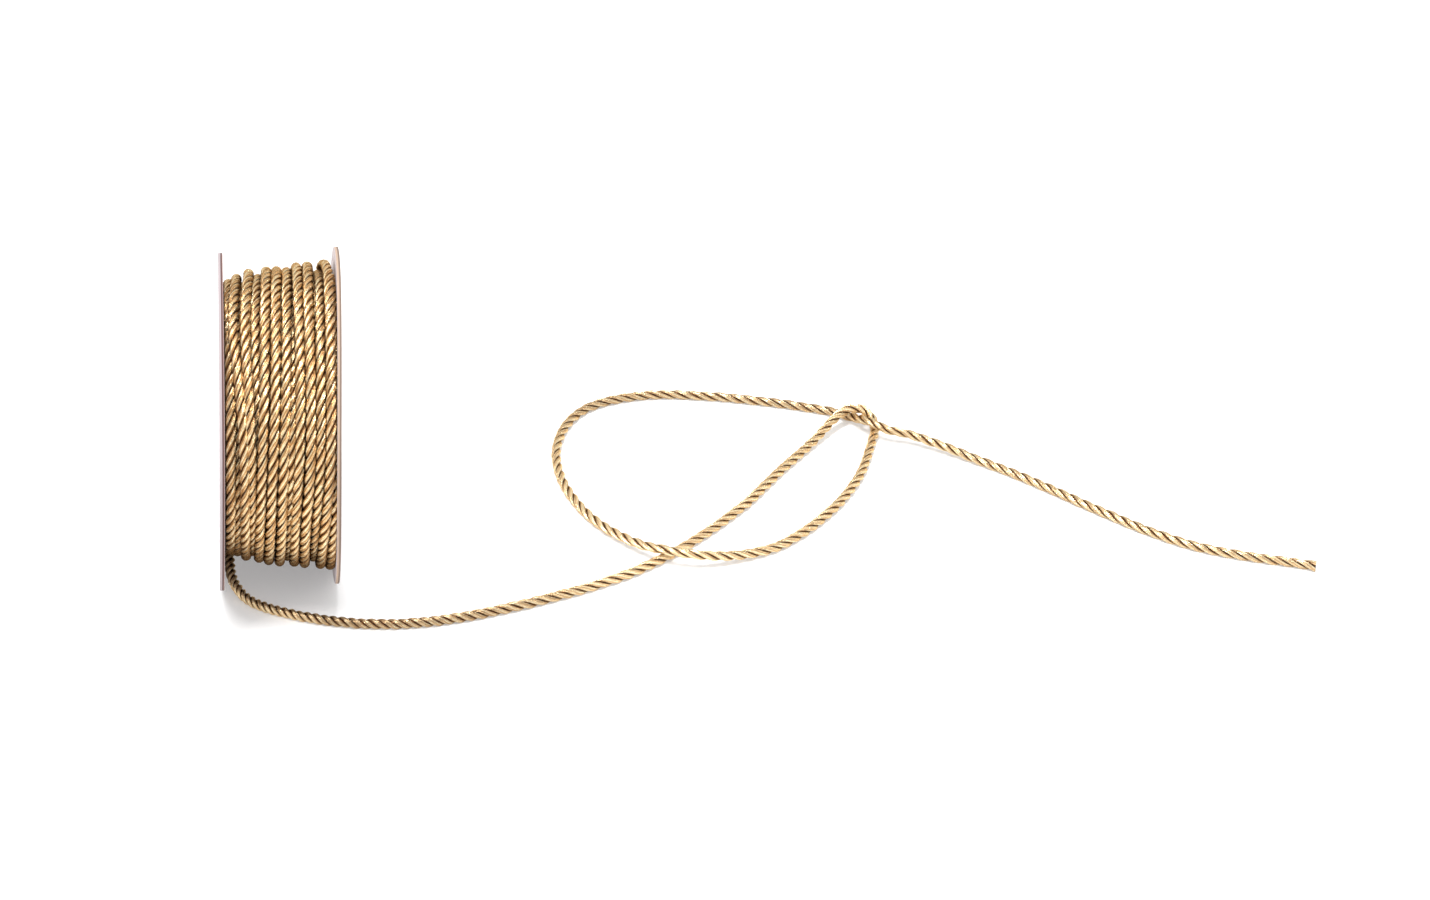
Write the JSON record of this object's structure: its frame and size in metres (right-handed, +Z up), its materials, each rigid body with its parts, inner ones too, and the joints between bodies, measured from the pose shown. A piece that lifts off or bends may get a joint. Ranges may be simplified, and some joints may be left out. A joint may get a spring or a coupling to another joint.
{
  "type": "decorative cord on a reel",
  "caption": "Twisted metallic-gold decorative cord wound on an upright reel between two thin board discs, its free end drawn out on the surface in a loose overhand knot.",
  "frame": {"origin": "on the surface that the reel stands on, below the middle of the reel", "axes": "+X along the reel's axis, towards the side where the free cord lies; +Y away from the side where the cord leaves the reel; +Z up"},
  "size_m": [0.349, 0.1527, 0.1003],
  "materials": {
    "gold_cord": "twisted metallic yarn, satin",
    "reel_board": "matt"
  },
  "bodies": {
    "root": {"left_disc": "reel_board", "right_disc": "reel_board", "winding": "gold_cord", "free_cord": "gold_cord"}
  },
  "joints": []
}
